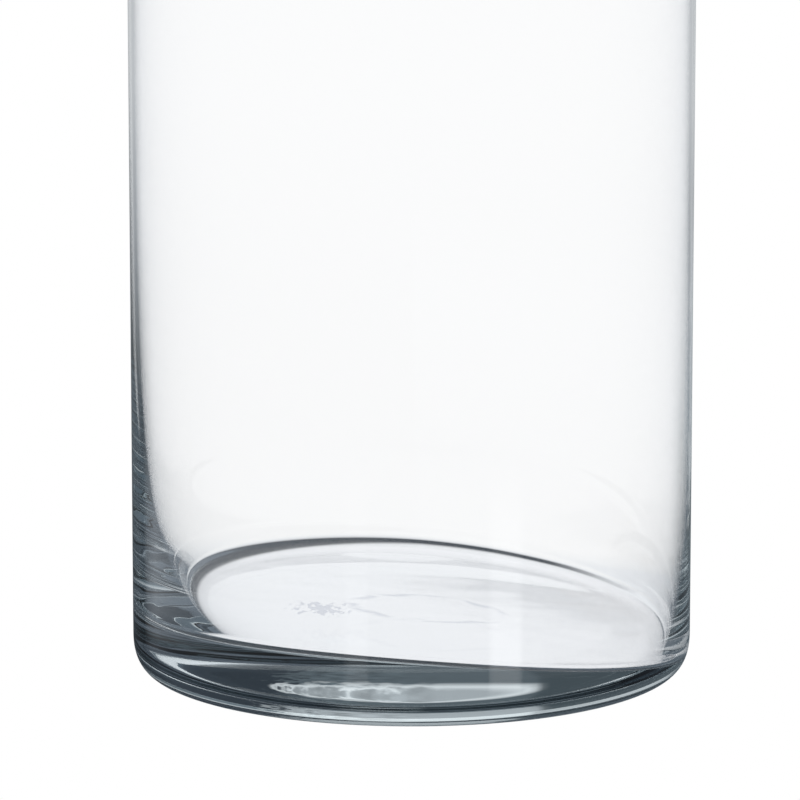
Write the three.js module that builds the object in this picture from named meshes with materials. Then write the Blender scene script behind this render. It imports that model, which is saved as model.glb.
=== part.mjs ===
// Cylinder vase in clear glass: one blown piece, with a heavy base and walls that thin out upwards.
// Millimetres, +Z up. The origin is the centre of the foot, on the surface that the vase stands on.
// The glass gathered unevenly as it was blown, so the cavity lies towards +X, where the wall is thinner,
// and its floor slopes down to that side, more and more steeply.
import * as THREE from "three";

// Driving dimensions.
const OUTER_RADIUS = 75;
const HEIGHT = 300;
const BASE_THICKNESS = 16.4; // from the standing plane up to the middle of the inner floor
const HEEL_RADIUS = 13; // the rounded corner between the wall and the foot
const HEEL_POWER = 3; // 2 would make the corner a quarter of a circle, and more makes it squarer
const FILLET_WIDTH = 4.5; // the rounded corner between the inner floor and the cavity's wall
const FILLET_HEIGHT = 3;
const FILLET_WIDTH_UNEVENNESS = 0.75; // the share by which it is wider at -X and narrower at +X
const FILLET_HEIGHT_UNEVENNESS = 0.3;
const FOOT_INNER_RADIUS = 52; // the vase stands on the ring from here out to the heel
const PUSH_UP = 0.3; // how far the middle of the underside is dished in
const THIN_WALL = 1.5; // high on the vase
const GATHERED_WALL = 6.6; // what the wall has on top of that at the inner floor
const GATHER_HEIGHT = 18; // the gathered wall falls to 37% over this height
const CAVITY_SHIFT = 3.2; // how far the cavity is off centre at the inner floor
const SHIFT_HEIGHT = 36; // the shift, the slope and the bend fall to 37% over this height
const FLOOR_TILT = 0.067; // the slope of the inner floor's middle, down towards +X
const FLOOR_BEND = 0.00126; // a parabola's share in that slope, for each millimetre
const RIM_THICKNESS = 2.2; // the fire-polished rim is a little thicker than the wall under it
const RIM_HEIGHT = 5; // from where the wall starts to thicken up to the top

// How finely the curves are faceted.
const SEGMENTS = 72;
const DISH_STEPS = 3;
const HEEL_STEPS = 8;
const RIM_STEPS = 6;
const WALL_STEPS = 14;
const FILLET_STEPS = 5;
const FLOOR_STEPS = 6;

const QUARTER = Math.PI / 2;

/** The share that is left, at a height, of what fades upwards from the inner floor. */
function share(z, fadeHeight) {
  return Math.exp((BASE_THICKNESS - z) / fadeHeight);
}

/** Thickness of the wall at a height, halfway between its heavy side and its thin side. */
function wallThickness(z) {
  return THIN_WALL + GATHERED_WALL * share(z, GATHER_HEIGHT);
}

/** The values that a function gives at evenly spaced places from 0 to 1, both ends included. */
function along(steps, place) {
  return Array.from({ length: steps + 1 }, (_, i) => place(i / steps));
}

/** The dished underside, the flat foot ring, the heel, and the straight wall up to and over the rim. */
function outsideProfile() {
  const dish = along(DISH_STEPS, (out) => {
    return new THREE.Vector2(FOOT_INNER_RADIUS * out, PUSH_UP * (1 - out * out));
  });
  const heel = along(HEEL_STEPS, (turned) => {
    const out = Math.sin(turned * QUARTER) ** (2 / HEEL_POWER);
    const down = Math.cos(turned * QUARTER) ** (2 / HEEL_POWER);
    return new THREE.Vector2(
      OUTER_RADIUS - HEEL_RADIUS * (1 - out),
      HEEL_RADIUS * (1 - down),
    );
  });
  const rimRadius = RIM_THICKNESS / 2;
  const rim = along(RIM_STEPS, (turned) => {
    const angle = turned * Math.PI;
    return new THREE.Vector2(
      OUTER_RADIUS - rimRadius * (1 - Math.cos(angle)),
      HEIGHT - rimRadius * (1 - Math.sin(angle)),
    );
  });
  return [...dish, ...heel, ...rim];
}

/** The cavity from below the rim down its wall, round the fillet and in to the middle of the floor. */
function cavityProfile(angle) {
  const towards = Math.cos(angle);
  const filletWidth = FILLET_WIDTH * (1 - FILLET_WIDTH_UNEVENNESS * towards);
  const filletHeight = FILLET_HEIGHT * (1 - FILLET_HEIGHT_UNEVENNESS * towards);
  const top = HEIGHT - RIM_HEIGHT;
  const bottom = BASE_THICKNESS + filletHeight;
  const wall = along(WALL_STEPS, (down) => {
    const z = bottom + (top - bottom) * (1 - down) ** 2;
    return new THREE.Vector2(OUTER_RADIUS - wallThickness(z), z);
  });
  const floorRadius = OUTER_RADIUS - wallThickness(bottom) - filletWidth;
  const fillet = along(FILLET_STEPS, (turned) => {
    return new THREE.Vector2(
      floorRadius + filletWidth * Math.cos(turned * QUARTER),
      bottom - filletHeight * Math.sin(turned * QUARTER),
    );
  });
  const floor = along(FLOOR_STEPS, (inwards) => {
    return new THREE.Vector2(floorRadius * (1 - inwards), BASE_THICKNESS);
  });
  return [...wall, ...fillet.slice(1), ...floor.slice(1)];
}

/** The vase turned from its profile, with the cavity then moved off centre and its floor sloped. */
function vesselGeometry() {
  const outside = outsideProfile();
  const rings = outside.length + cavityProfile(0).length;
  const geometry = new THREE.LatheGeometry([...outside, ...cavityProfile(0)], SEGMENTS);
  geometry.rotateX(QUARTER);
  const position = geometry.getAttribute("position");
  for (let segment = 0; segment <= SEGMENTS; segment++) {
    const first = segment * rings;
    const wide = first + outside.length;
    const angle = Math.atan2(position.getY(wide), position.getX(wide));
    cavityProfile(angle).forEach(({ x: radius, y: z }, i) => {
      const x = radius * Math.cos(angle);
      const left = share(z, SHIFT_HEIGHT);
      const drop = (FLOOR_TILT + FLOOR_BEND * x) * x;
      position.setXYZ(
        wide + i,
        x + CAVITY_SHIFT * left,
        radius * Math.sin(angle),
        z - drop * left,
      );
    });
  }
  return geometry;
}

const clearGlass = new THREE.MeshStandardMaterial({
  color: 0xe6f0f2,
  roughness: 0.02,
  metalness: 0,
  transparent: true,
  opacity: 0.35,
});

const vessel = new THREE.Mesh(vesselGeometry(), clearGlass);
vessel.name = "glass_vessel";

const vase = new THREE.Group();
vase.add(vessel);

export default vase;
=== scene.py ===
"""Looks of a clear glass cylinder vase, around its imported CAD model. Metres, +Z up.

The vase is blown in one piece: a heavy base, a rounded heel, and a wall that thins out upwards. The glass
gathered unevenly, so the cavity lies towards +X and its floor slopes down to that side.
"""
import math

import bpy
import numpy as np
from mathutils import Euler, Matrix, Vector, noise

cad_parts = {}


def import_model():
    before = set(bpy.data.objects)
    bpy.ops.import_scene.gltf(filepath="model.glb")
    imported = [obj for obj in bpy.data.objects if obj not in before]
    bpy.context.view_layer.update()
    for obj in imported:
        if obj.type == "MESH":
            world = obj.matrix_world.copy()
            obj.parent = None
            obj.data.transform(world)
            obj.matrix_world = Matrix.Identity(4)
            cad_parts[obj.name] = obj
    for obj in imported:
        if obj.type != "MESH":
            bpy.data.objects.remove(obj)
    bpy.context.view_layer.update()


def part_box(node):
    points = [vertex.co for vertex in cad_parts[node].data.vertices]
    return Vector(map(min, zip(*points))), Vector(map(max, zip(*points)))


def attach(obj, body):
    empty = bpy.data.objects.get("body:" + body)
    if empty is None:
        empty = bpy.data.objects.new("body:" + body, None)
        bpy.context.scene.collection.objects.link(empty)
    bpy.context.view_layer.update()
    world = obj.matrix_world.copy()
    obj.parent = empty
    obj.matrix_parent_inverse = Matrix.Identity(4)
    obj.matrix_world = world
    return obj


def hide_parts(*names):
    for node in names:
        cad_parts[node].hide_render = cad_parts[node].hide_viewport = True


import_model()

MM = 0.001

# The outside comes from the frame, and the rest repeats the CAD model's driving dimensions.
low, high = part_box("glass_vessel")
OUTER_RADIUS = (high.x - low.x) / 2
HEIGHT = high.z - low.z
BASE_THICKNESS = 16.4 * MM
HEEL_RADIUS = 13 * MM
HEEL_POWER = 3  # 2 would make the heel a quarter of a circle, and more makes it squarer
FILLET_WIDTH = 4.5 * MM
FILLET_HEIGHT = 3 * MM
WIDTH_UNEVENNESS = 0.75  # the share by which the fillet is wider on the left and narrower on the right
HEIGHT_UNEVENNESS = 0.3
FOOT_INNER_RADIUS = 52 * MM
PUSH_UP = 0.3 * MM
THIN_WALL = 1.5 * MM
GATHERED_WALL = 6.6 * MM
GATHER_HEIGHT = 18 * MM
CAVITY_SHIFT = 3.2 * MM
SHIFT_HEIGHT = 36 * MM
FLOOR_TILT = 0.067  # the inner floor's fall towards +X
FLOOR_BEND = 1.26  # a parabola's share in that fall, for each metre
RIM_THICKNESS = 2.2 * MM
RIM_HEIGHT = 5 * MM

# What the CAD model leaves out: chill ripples round the lower wall and chill waves in the underside.
RIPPLE_HEIGHT = 0.04 * MM
RIPPLE_PITCH = 5.2 * MM
RIPPLE_FADE = 16 * MM
RIPPLE_PATCH = 14 * MM
RIPPLE_IN_FRONT = 0.2  # their strength in front and behind, against 1 at the sides
RIPPLE_BASE = 0.6  # added to the patches of stronger and weaker ripples
RIPPLE_SLANT = 0.8  # how fast a ripple changes on its way round
PATCH_SLANT = 1.7
WAVE_HEIGHT = 0.035 * MM
WAVE_WIDTH = 14 * MM
WAVE_DEPTH = 8 * MM
WAVE_SIDE = 40 * MM  # the waves grow up to here on the left
WAVE_GROWTH = 1.5
WAVE_SLICE = 3  # the level of the noise that the waves are taken from

# The shear mark that the gathering iron left in the inner floor.
MARK_MIDDLE = Vector((3, -18, 0)) * MM
MARK_HALF_LENGTH = 20 * MM
MARK_HALF_DEPTH = 14 * MM
MARK_LINE = 1.7 * MM
MARK_STIR = 0.35  # how far the line wanders off the oval
MARK_BREAKS = (0.38, 0.52)  # the noise between which the line comes and goes
MARK_PATCH = (9 * MM, 6 * MM, 9 * MM)
ROUGH_SPOT = Vector((-25, -24, 0)) * MM
ROUGH_SPOT_RADIUS = 11 * MM
ROUGH_SPOT_GRAIN = (1.5 * MM, 3 * MM, 3 * MM)
ROUGH_SPOT_CORE = 0.3  # specks are at full strength this share of the way in, and get denser by as much
SPECKS = (0.64, 0.72)  # the grain between which a speck begins and is full
MARK_TONE = (0.55, 0.57, 0.64)
MARK_REACH = 4 * MM  # above and below the middle of the inner floor

# The glass itself.
GLASS_IOR = 1.52
DEPTH_COLOUR = (0.55, 0.82, 0.88, 1)
DEPTH_DENSITY = 2

# How finely the curves are faceted.
FINE_HEIGHT = 110 * MM  # the mesh is finer below this, where the ripples are
SEGMENTS = 288
DISH_STEPS = 30
FOOT_STEPS = 8
HEEL_STEPS = 40
LOWER_WALL_STEPS = 260
UPPER_WALL_STEPS = 60
RIM_STEPS = 20
FILLET_STEPS = 24
FLOOR_STEPS = 50

# The studio, as tones by direction in degrees. Azimuth is 0 straight behind the vase and grows to the
# right, and elevation is 0 at the horizon. Each table holds pairs of a direction and the tone there.
WHITE = (1, 1, 1)
BLACK = (0, 0, 0)
DARK = (0.03, 0.038, 0.048)
LOW = (0.14, 0.16, 0.19)  # the foot of the walls, and what late light meets from its third bounce on
LATE = (0.93, 0.94, 0.96)  # what late light meets: bounced light that went through more than one wall
SIDE = (0.88, 0.92, 0.97)
LEFT_LAMP = (0.4, 0.4, 0.4)
FLAT = (0.06, 0.075, 0.085)
CARD_DARK = (0.05, 0.06, 0.07)
CARD_BRIGHT = (0.85, 0.88, 0.9)
CARD_GREY = (0.42, 0.44, 0.46)
CARD_LINE = (0.86, 0.87, 0.89)
CARD_TOP = (0.1, 0.12, 0.135)
HEEL_LIGHT = (0.46, 0.48, 0.5)  # the card, as light meets it after a second bounce in the heel

# Two upright lamps in front, left and right, and the walls behind them.
LAMP_AZ = [
    (-180, BLACK), (-163, BLACK), (-161.5, LEFT_LAMP), (-154, LEFT_LAMP), (-152.5, BLACK),
    (134, BLACK), (135.5, WHITE), (147, WHITE), (149, BLACK), (180, BLACK),
]
LAMP_EL = [
    (-90, BLACK), (-24, BLACK), (-15, (1.5, 1.5, 1.5)), (-12.6, (1.5, 1.5, 1.5)), (-12, WHITE),
    (-11.5, (0.6, 0.6, 0.6)), (-10.8, BLACK), (90, BLACK),
]
WALL_EL = [(-90, LOW), (-12.8, LOW), (-12.3, WHITE), (90, WHITE)]

# The dark flats that draw the glass's edges. The right one is brighter by a factor, low down.
EDGE_EL = [
    (-90, (0.035, 0.043, 0.054)), (-20, (0.04, 0.05, 0.06)), (-13, (0.045, 0.055, 0.065)),
    (-11, (0.075, 0.09, 0.1)), (-9.7, (0.12, 0.14, 0.155)), (-8.4, (0.26, 0.28, 0.3)),
    (-7.5, (0.36, 0.38, 0.4)), (-6.6, (0.48, 0.5, 0.52)), (0, (0.6, 0.62, 0.64)),
]
RIGHT_FLAT = (2.4, 2.4, 2.4)
EDGE_AZ = [(-180, WHITE), (-4, WHITE), (4, RIGHT_FLAT), (180, RIGHT_FLAT)]
EDGE_AZ_EL = [(-90, WHITE), (-10.2, WHITE), (-7.8, BLACK), (90, BLACK)]
# At a grazing angle the outside meets the flats inside this window, which is wider below than above.
NARROW_AZ = [(-180, WHITE), (-38, WHITE), (-22, BLACK), (22, BLACK), (38, WHITE), (180, WHITE)]
WIDE_AZ = [(-180, WHITE), (-50, WHITE), (-36, BLACK), (36, BLACK), (50, WHITE), (180, WHITE)]
WIDE_TO_NARROW = (-10.2, -7.8)

# The white card behind the vase, which lights up the base, and the flats beside it.
CARD_AZ = [(-180, BLACK), (-20, BLACK), (-18, WHITE), (18, WHITE), (20, BLACK), (180, BLACK)]
CARD_EL = [
    (-90, CARD_DARK), (-16, CARD_DARK), (-14.5, CARD_BRIGHT), (1, CARD_BRIGHT), (4, CARD_GREY),
    (13.95, CARD_GREY), (14.1, CARD_LINE), (14.6, CARD_LINE), (14.9, CARD_TOP), (90, CARD_TOP),
]
FLAT_AZ = [(-180, FLAT), (-19, FLAT), (19, DARK), (180, DARK)]
CARD_FOOT = (2, 4)  # the elevation over which the card and its flats begin
# The card gets dappled over this azimuth: how wide and high the dapples are, and how far they stir its
# edges and its tone.
DAPPLE_AZ = (-6, 8)
DAPPLE_WIDTH = 4
DAPPLE_HEIGHT = 1.6
STIR_AZ = 40
STIR_EL = 7
STIR_TONE = 2.2

# The contact shadow that the glass shows, by the distance in metres from the middle of the foot.
SHADOW = [
    (0, (0.93, 0.94, 0.97)), (0.078, (0.93, 0.94, 0.97)), (0.079, DARK), (0.0925, DARK),
    (0.094, (0.72, 0.74, 0.77)), (0.098, (0.86, 0.88, 0.9)), (0.106, (0.96, 0.97, 0.98)), (0.115, WHITE),
    (1, WHITE),
]
SHADOW_SHIFT = 13 * MM  # how much nearer it lies on the left
SHADOW_FADE = (36 * MM, 66 * MM)  # where it fades out on the right
SHADOW_FADED = (0.9, 0.92, 0.95)
FLOOR_HALF_SIZE = 6
FLOOR_DEPTH = 0.2 * MM  # just under the foot, so that the two don't touch

# The camera stands in front of the vase and looks slightly down at it. Metres, degrees and millimetres.
CAMERA_PLACE = (0, -1.3737, 0.3139)
CAMERA_PITCH = 9.913
CAMERA_TURN = 0.1298
SENSOR_WIDTH = 36
LENS = 234.36
MAX_BOUNCES = 32


def share(z, fade_height):
    """The share that is left, at a height, of what fades upwards from the inner floor."""
    return np.exp((BASE_THICKNESS - z) / fade_height)


def wall_thickness(z):
    """Thickness of the wall at a height, halfway between its heavy side and its thin side."""
    return THIN_WALL + GATHERED_WALL * share(z, GATHER_HEIGHT)


def arc(centre_r, centre_z, radius, start, end, steps):
    """Radii and heights of an arc in the profile's plane, both ends included."""
    angles = np.linspace(start, end, steps + 1)
    return centre_r + radius * np.cos(angles), centre_z + radius * np.sin(angles)


def outside_rings():
    """Radius and height of each ring of the outside, from the middle of the foot up and over the rim."""
    out = np.arange(1, DISH_STEPS) / DISH_STEPS
    dish = FOOT_INNER_RADIUS * out, PUSH_UP * (1 - out * out)
    heel_centre = OUTER_RADIUS - HEEL_RADIUS
    foot_r = np.linspace(FOOT_INNER_RADIUS, heel_centre, FOOT_STEPS, endpoint=False)
    foot = foot_r, np.zeros(FOOT_STEPS)
    turn = np.linspace(math.pi / 2, 0, HEEL_STEPS + 1)
    heel_out = np.cos(turn).clip(0) ** (2 / HEEL_POWER)
    heel_down = np.sin(turn) ** (2 / HEEL_POWER)
    heel = heel_centre + HEEL_RADIUS * heel_out, HEEL_RADIUS * (1 - heel_down)
    rim_radius = RIM_THICKNESS / 2
    rim_z = HEIGHT - rim_radius
    lower_z = np.linspace(HEEL_RADIUS, FINE_HEIGHT, LOWER_WALL_STEPS)[1:]
    upper_z = np.linspace(FINE_HEIGHT, rim_z, UPPER_WALL_STEPS)[1:-1]
    wall_z = np.concatenate([lower_z, upper_z])
    wall = np.full(len(wall_z), OUTER_RADIUS), wall_z
    rim = arc(OUTER_RADIUS - rim_radius, rim_z, rim_radius, 0, math.pi, RIM_STEPS)
    return np.concatenate([dish, foot, heel, wall, rim], axis=1)


def ripple(angle, z):
    """Height of the faint chill ripples that run round the lower wall, most of all at the sides."""
    x, y = math.cos(angle), math.sin(angle)
    patch = noise.noise(Vector((PATCH_SLANT * x, PATCH_SLANT * y, z / RIPPLE_PATCH)))
    fade = math.exp(-max(z - HEEL_RADIUS, 0) / RIPPLE_FADE) * min(z / HEEL_RADIUS, 1)
    strength = (RIPPLE_IN_FRONT + (1 - RIPPLE_IN_FRONT) * x * x) * fade * (RIPPLE_BASE + patch)
    place = Vector((RIPPLE_SLANT * x, RIPPLE_SLANT * y, z / RIPPLE_PITCH))
    return RIPPLE_HEIGHT * strength * noise.noise(place)


def wave(x, y):
    """Height of the chill waves in the underside, which are strongest on the left."""
    leftwards = min(max(-x / WAVE_SIDE, 0), 1)
    place = Vector((x / WAVE_WIDTH, y / WAVE_DEPTH, WAVE_SLICE))
    return WAVE_HEIGHT * (1 + WAVE_GROWTH * leftwards) * (0.5 + 0.5 * noise.noise(place))


def outside_grid(angles):
    """Places of the outside's vertices, one row for each ring."""
    r, z = outside_rings()
    foot_edge = OUTER_RADIUS - HEEL_RADIUS
    radius = np.repeat(r[:, None], len(angles), axis=1)
    height = np.repeat(z[:, None], len(angles), axis=1)
    for i in np.flatnonzero((z < FINE_HEIGHT) & (r > foot_edge)):
        radius[i] -= [ripple(angle, z[i]) for angle in angles]
    for i in np.flatnonzero(r < foot_edge):
        height[i] += [wave(r[i] * math.cos(angle), r[i] * math.sin(angle)) for angle in angles]
    return np.stack([radius * np.cos(angles), radius * np.sin(angles), height], axis=-1)


def cavity_grid(angles):
    """Places of the cavity's vertices, one row for each ring, from below the rim down to the floor."""
    towards = np.cos(angles)
    fillet_width = FILLET_WIDTH * (1 - WIDTH_UNEVENNESS * towards)
    fillet_height = FILLET_HEIGHT * (1 - HEIGHT_UNEVENNESS * towards)
    bottom = BASE_THICKNESS + fillet_height
    upper_z = np.linspace(HEIGHT - RIM_HEIGHT, FINE_HEIGHT, UPPER_WALL_STEPS, endpoint=False)
    down = np.linspace(0, 1, LOWER_WALL_STEPS // 2, endpoint=False)[:, None]
    wall_z = np.concatenate([np.repeat(upper_z[:, None], len(angles), axis=1),
                             FINE_HEIGHT + (bottom - FINE_HEIGHT) * down])
    wall_r = OUTER_RADIUS - wall_thickness(wall_z)
    floor_r = OUTER_RADIUS - wall_thickness(bottom) - fillet_width
    turn = np.linspace(0, math.pi / 2, FILLET_STEPS + 1)[:, None]
    inward = np.linspace(1, 0, FLOOR_STEPS, endpoint=False)[1:, None]
    r = np.concatenate([wall_r, floor_r + fillet_width * np.cos(turn), floor_r * inward])
    level = np.full_like(floor_r * inward, BASE_THICKNESS)
    z = np.concatenate([wall_z, bottom - fillet_height * np.sin(turn), level])
    left = share(z, SHIFT_HEIGHT)
    x = r * np.cos(angles)
    drop = (FLOOR_TILT + FLOOR_BEND * x) * x
    return np.stack([x + CAVITY_SHIFT * left, r * np.sin(angles), z - drop * left], axis=-1)


def vessel_mesh():
    """The vase as one closed mesh: the outside's rings, then the cavity's, and a fan at each end."""
    angles = np.linspace(0, 2 * math.pi, SEGMENTS, endpoint=False)
    grid = np.concatenate([outside_grid(angles), cavity_grid(angles)])
    rings = len(grid)
    vertices = grid.reshape(-1, 3).tolist()
    first = (np.arange(rings - 1) * SEGMENTS)[:, None]
    here = np.arange(SEGMENTS)
    after = (here + 1) % SEGMENTS
    quads = [first + here, first + after, first + SEGMENTS + after, first + SEGMENTS + here]
    faces = np.stack(quads, axis=-1).reshape(-1, 4).tolist()
    foot_middle = len(vertices)
    floor_middle = foot_middle + 1
    vertices += [(0, 0, PUSH_UP + wave(0, 0)), (CAVITY_SHIFT, 0, BASE_THICKNESS)]
    last = (rings - 1) * SEGMENTS
    for a, b in zip(here.tolist(), after.tolist()):
        faces += [(b, a, foot_middle), (last + a, last + b, floor_middle)]
    mesh = bpy.data.meshes.new("glass_vessel_fine")
    mesh.from_pydata(vertices, [], faces)
    mesh.polygons.foreach_set("use_smooth", [True] * len(mesh.polygons))
    mesh.update()
    return mesh


def ramp(t, value, stops):
    """The tone at a value, from a table of pairs in rising order."""
    start, end = stops[0][0], stops[-1][0]
    scale = map_range(t, value, start, end)
    node = t.nodes.new("ShaderNodeValToRGB")
    t.links.new(scale, node.inputs[0])
    elements = node.color_ramp.elements
    elements.remove(elements[1])
    elements[0].position = 0
    elements[0].color = (*stops[0][1], 1)
    for place, tone in stops[1:]:
        elements.new((place - start) / (end - start)).color = (*tone, 1)
    return node.outputs[0]


def map_range(t, value, start, end):
    """0 up to the start, 1 from the end on, and even between them."""
    node = t.nodes.new("ShaderNodeMapRange")
    node.inputs["From Min"].default_value = start
    node.inputs["From Max"].default_value = end
    t.links.new(value, node.inputs["Value"])
    return node.outputs[0]


def math_node(t, operation, *values):
    """The result of one operation on numbers and sockets."""
    node = t.nodes.new("ShaderNodeMath")
    node.operation = operation
    for socket, value in zip(node.inputs, values):
        if isinstance(value, (int, float)):
            socket.default_value = value
        else:
            t.links.new(value, socket)
    return node.outputs[0]


def choose(t, factor, a, b, blend="MIX"):
    """The first tone where the factor is 0, the second where it is 1, and a blend between them."""
    node = t.nodes.new("ShaderNodeMix")
    node.data_type = "RGBA"
    node.blend_type = blend
    for place, value in ((0, factor), (6, a), (7, b)):
        if isinstance(value, tuple):
            node.inputs[place].default_value = (*value, 1)
        elif isinstance(value, int):
            node.inputs[place].default_value = value
        else:
            t.links.new(value, node.inputs[place])
    return node.outputs[2]


def vector_node(t, operation, a, b):
    """The result of one operation on vectors."""
    node = t.nodes.new("ShaderNodeVectorMath")
    node.operation = operation
    for socket, value in zip(node.inputs, (a, b)):
        if isinstance(value, (tuple, Vector)):
            socket.default_value = value
        else:
            t.links.new(value, socket)
    return node.outputs["Value" if operation in ("LENGTH", "DISTANCE") else "Vector"]


def clouds(t, place, detail):
    """Soft noise between 0 and 1, with blobs about one unit wide."""
    node = t.nodes.new("ShaderNodeTexNoise")
    node.inputs["Scale"].default_value = 1
    node.inputs["Detail"].default_value = detail
    t.links.new(place, node.inputs["Vector"])
    return node.outputs["Fac"]


def broken_oval(t, place):
    """1 on the shear mark's line, which wanders and breaks off, and 0 away from it."""
    patches = clouds(t, vector_node(t, "DIVIDE", place, MARK_PATCH), 1)
    reach = (MARK_HALF_LENGTH, MARK_HALF_DEPTH, 1)
    from_middle = vector_node(t, "DIVIDE", vector_node(t, "SUBTRACT", place, MARK_MIDDLE), reach)
    off_line = math_node(t, "SUBTRACT", vector_node(t, "LENGTH", from_middle, (0, 0, 0)), 1)
    stirred = math_node(t, "MULTIPLY_ADD", math_node(t, "SUBTRACT", patches, 0.5), MARK_STIR, off_line)
    beside_line = math_node(t, "ABSOLUTE", stirred)
    line = math_node(t, "SUBTRACT", 1, map_range(t, beside_line, 0, MARK_LINE / MARK_HALF_DEPTH))
    return math_node(t, "MULTIPLY", line, map_range(t, patches, *MARK_BREAKS))


def rough_spot(t, place):
    """1 on the specks at the left end of the shear mark, and 0 away from them."""
    grain = clouds(t, vector_node(t, "DIVIDE", place, ROUGH_SPOT_GRAIN), 3)
    flat_place = vector_node(t, "MULTIPLY", place, (1, 1, 0))
    from_spot = vector_node(t, "DISTANCE", flat_place, ROUGH_SPOT)
    near_spot = math_node(t, "SUBTRACT", 1, map_range(t, from_spot, 0, ROUGH_SPOT_RADIUS))
    specks = map_range(t, math_node(t, "MULTIPLY_ADD", near_spot, ROUGH_SPOT_CORE, grain), *SPECKS)
    return math_node(t, "MULTIPLY", specks, map_range(t, near_spot, 0, ROUGH_SPOT_CORE))


def shear_mark(t):
    """1 on the broken oval line and the rough spot in the inner floor, and 0 elsewhere."""
    place = t.nodes.new("ShaderNodeTexCoord").outputs["Object"]
    height = t.nodes.new("ShaderNodeSeparateXYZ")
    t.links.new(place, height.inputs[0])
    on_floor = math_node(t, "COMPARE", height.outputs["Z"], BASE_THICKNESS, MARK_REACH)
    mark = math_node(t, "MAXIMUM", broken_oval(t, place), rough_spot(t, place))
    return math_node(t, "MULTIPLY", mark, on_floor)


def glass_material():
    """Clear glass with a faint green-blue depth, and a faint shear mark in the inner floor."""
    m = bpy.data.materials.new("clear_glass")
    m.use_nodes = True
    t = m.node_tree
    bsdf = t.nodes["Principled BSDF"]
    t.links.new(choose(t, shear_mark(t), WHITE, MARK_TONE), bsdf.inputs["Base Color"])
    bsdf.inputs["Roughness"].default_value = 0
    bsdf.inputs["IOR"].default_value = GLASS_IOR
    bsdf.inputs["Transmission Weight"].default_value = 1
    depth = t.nodes.new("ShaderNodeVolumeAbsorption")
    depth.inputs["Color"].default_value = DEPTH_COLOUR
    depth.inputs["Density"].default_value = DEPTH_DENSITY
    t.links.new(depth.outputs[0], t.nodes["Material Output"].inputs["Volume"])
    return m


def vessel():
    """The vase, in place of the CAD model's one piece."""
    o = bpy.data.objects.new("glass_vase", vessel_mesh())
    bpy.context.scene.collection.objects.link(o)
    o.data.materials.append(glass_material())
    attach(o, "root")
    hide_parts("glass_vessel")


def camera():
    """The camera, in front of the vase and a little above its base."""
    data = bpy.data.cameras.new("camera")
    data.sensor_width = SENSOR_WIDTH
    data.lens = LENS
    data.clip_start = 0.05
    data.clip_end = 100
    cam = bpy.data.objects.new("camera", data)
    cam.location = CAMERA_PLACE
    cam.rotation_euler = Euler((math.radians(90 - CAMERA_PITCH), 0, math.radians(CAMERA_TURN)))
    bpy.context.scene.collection.objects.link(cam)
    bpy.context.scene.camera = cam


def directions(t):
    """Azimuth and elevation, in degrees, of the part of the studio that a ray meets."""
    coordinates = t.nodes.new("ShaderNodeTexCoord")
    parts = t.nodes.new("ShaderNodeSeparateXYZ")
    t.links.new(coordinates.outputs["Generated"], parts.inputs[0])
    azimuth = math_node(t, "DEGREES", math_node(t, "ARCTAN2", parts.outputs["X"], parts.outputs["Y"]))
    elevation = math_node(t, "DEGREES", math_node(t, "ARCSINE", parts.outputs["Z"]))
    return azimuth, elevation


def front_of_studio(t, azimuth, elevation, edge):
    """What the outside of the glass reflects: lamps and walls, and at a grazing angle the dark flats."""
    lamps = choose(t, 1, ramp(t, azimuth, LAMP_AZ), ramp(t, elevation, LAMP_EL), "MULTIPLY")
    walls = choose(t, 1, ramp(t, elevation, WALL_EL), SIDE, "MULTIPLY")
    broad = choose(t, 1, walls, lamps, "ADD")
    high_up = map_range(t, elevation, *WIDE_TO_NARROW)
    window = choose(t, high_up, ramp(t, azimuth, WIDE_AZ), ramp(t, azimuth, NARROW_AZ))
    return choose(t, window, edge, broad)


def card_and_flats(t, azimuth, elevation, twice):
    """How far a ray meets the card, the card's tone, and its tone after a second bounce in the heel."""
    leftwards = map_range(t, azimuth, *DAPPLE_AZ)
    spread = t.nodes.new("ShaderNodeCombineXYZ")
    t.links.new(math_node(t, "DIVIDE", azimuth, DAPPLE_WIDTH), spread.inputs["X"])
    t.links.new(math_node(t, "DIVIDE", elevation, DAPPLE_HEIGHT), spread.inputs["Y"])
    dapples = math_node(t, "SUBTRACT", clouds(t, spread.outputs[0], 3), 0.5)
    stir = math_node(t, "MULTIPLY", dapples, leftwards)
    on_card = ramp(t, math_node(t, "MULTIPLY_ADD", stir, STIR_AZ, azimuth), CARD_AZ)
    tone = ramp(t, math_node(t, "MULTIPLY_ADD", stir, STIR_EL, elevation), CARD_EL)
    card = choose(t, 1, tone, math_node(t, "MULTIPLY_ADD", stir, STIR_TONE, 1), "MULTIPLY")
    return on_card, card, choose(t, twice, card, HEEL_LIGHT)


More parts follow.
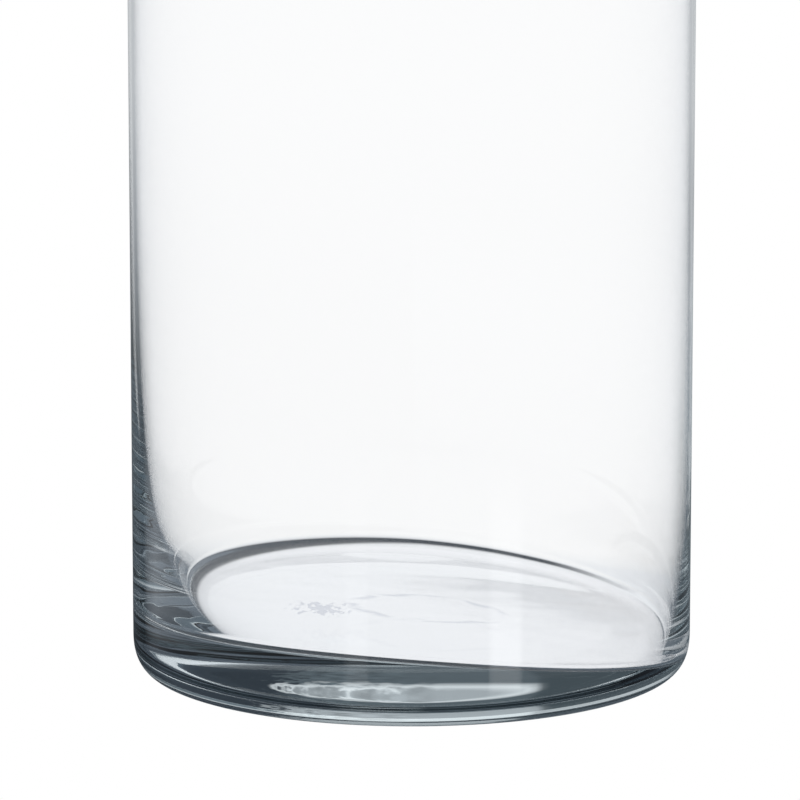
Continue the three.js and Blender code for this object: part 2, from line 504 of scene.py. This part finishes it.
def world():
    """A soft white studio, with the lamps, the card and the dark flats that the glass shows."""
    w = bpy.data.worlds.new("studio")
    bpy.context.scene.world = w
    w.use_nodes = True
    t = w.node_tree
    azimuth, elevation = directions(t)
    path = t.nodes.new("ShaderNodeLightPath")
    bounces = path.outputs["Glossy Depth"]
    crossings = path.outputs["Transmission Depth"]
    bounced = math_node(t, "GREATER_THAN", bounces, 0.5)
    twice = math_node(t, "GREATER_THAN", bounces, 1.5)
    often = math_node(t, "GREATER_THAN", bounces, 2.5)
    never_in = math_node(t, "COMPARE", crossings, 0, 0.5)
    in_and_out = math_node(t, "COMPARE", crossings, 2, 0.5)

    right_flat = choose(t, ramp(t, elevation, EDGE_AZ_EL), WHITE, ramp(t, azimuth, EDGE_AZ))
    edge = choose(t, 1, ramp(t, elevation, EDGE_EL), right_flat, "MULTIPLY")
    front = front_of_studio(t, azimuth, elevation, edge)
    rest = choose(t, never_in, choose(t, often, LATE, LOW), front)

    flats = ramp(t, azimuth, FLAT_AZ)
    above = map_range(t, elevation, *CARD_FOOT)
    on_card, card, card_by_bounce = card_and_flats(t, azimuth, elevation, twice)
    through_wall = choose(t, on_card, choose(t, above, edge, flats), card_by_bounce)
    unbounced = choose(t, above, WHITE, choose(t, on_card, flats, card))
    seen = choose(t, bounced, unbounced, choose(t, in_and_out, rest, through_wall))
    t.links.new(seen, t.nodes["Background"].inputs["Color"])


def contact_shadow(t):
    """Tone of the floor as the glass shows it."""
    place = t.nodes.new("ShaderNodeNewGeometry").outputs["Position"]
    parts = t.nodes.new("ShaderNodeSeparateXYZ")
    t.links.new(place, parts.inputs[0])
    away = vector_node(t, "LENGTH", place, (0, 0, 0))
    leftwards = math_node(t, "MAXIMUM", math_node(t, "DIVIDE", parts.outputs["X"], -OUTER_RADIUS), 0)
    ring = ramp(t, math_node(t, "MULTIPLY_ADD", leftwards, SHADOW_SHIFT, away), SHADOW)
    rightwards = map_range(t, parts.outputs["X"], *SHADOW_FADE)
    return choose(t, rightwards, ring, SHADOW_FADED, "LIGHTEN")


def floor_material():
    """White to the eye, with the contact shadow through glass, and clear to what the glass reflects."""
    m = bpy.data.materials.new("pale_floor")
    m.use_nodes = True
    t = m.node_tree
    path = t.nodes.new("ShaderNodeLightPath")
    glow = t.nodes.new("ShaderNodeEmission")
    through_glass = math_node(t, "GREATER_THAN", path.outputs["Transmission Depth"], 0.5)
    t.links.new(choose(t, through_glass, WHITE, contact_shadow(t)), glow.inputs["Color"])
    mix = t.nodes.new("ShaderNodeMixShader")
    t.links.new(math_node(t, "GREATER_THAN", path.outputs["Glossy Depth"], 0.5), mix.inputs[0])
    t.links.new(glow.outputs[0], mix.inputs[1])
    t.links.new(t.nodes.new("ShaderNodeBsdfTransparent").outputs[0], mix.inputs[2])
    t.links.new(mix.outputs[0], t.nodes["Material Output"].inputs["Surface"])
    return m


def floor():
    """The studio's table."""
    mesh = bpy.data.meshes.new("floor")
    half = FLOOR_HALF_SIZE
    corners = [(-half, -half, 0), (half, -half, 0), (half, half, 0), (-half, half, 0)]
    mesh.from_pydata(corners, [], [(0, 1, 2, 3)])
    mesh.materials.append(floor_material())
    o = bpy.data.objects.new("floor", mesh)
    o.location.z = -FLOOR_DEPTH
    bpy.context.scene.collection.objects.link(o)


def render_settings():
    """Plain tones, and enough bounces for light to find its way out of the base."""
    scene = bpy.context.scene
    scene.view_settings.view_transform = "Standard"
    scene.cycles.max_bounces = MAX_BOUNCES
    scene.cycles.glossy_bounces = MAX_BOUNCES
    scene.cycles.transmission_bounces = MAX_BOUNCES
    scene.cycles.transparent_max_bounces = MAX_BOUNCES


vessel()
camera()
world()
floor()
render_settings()
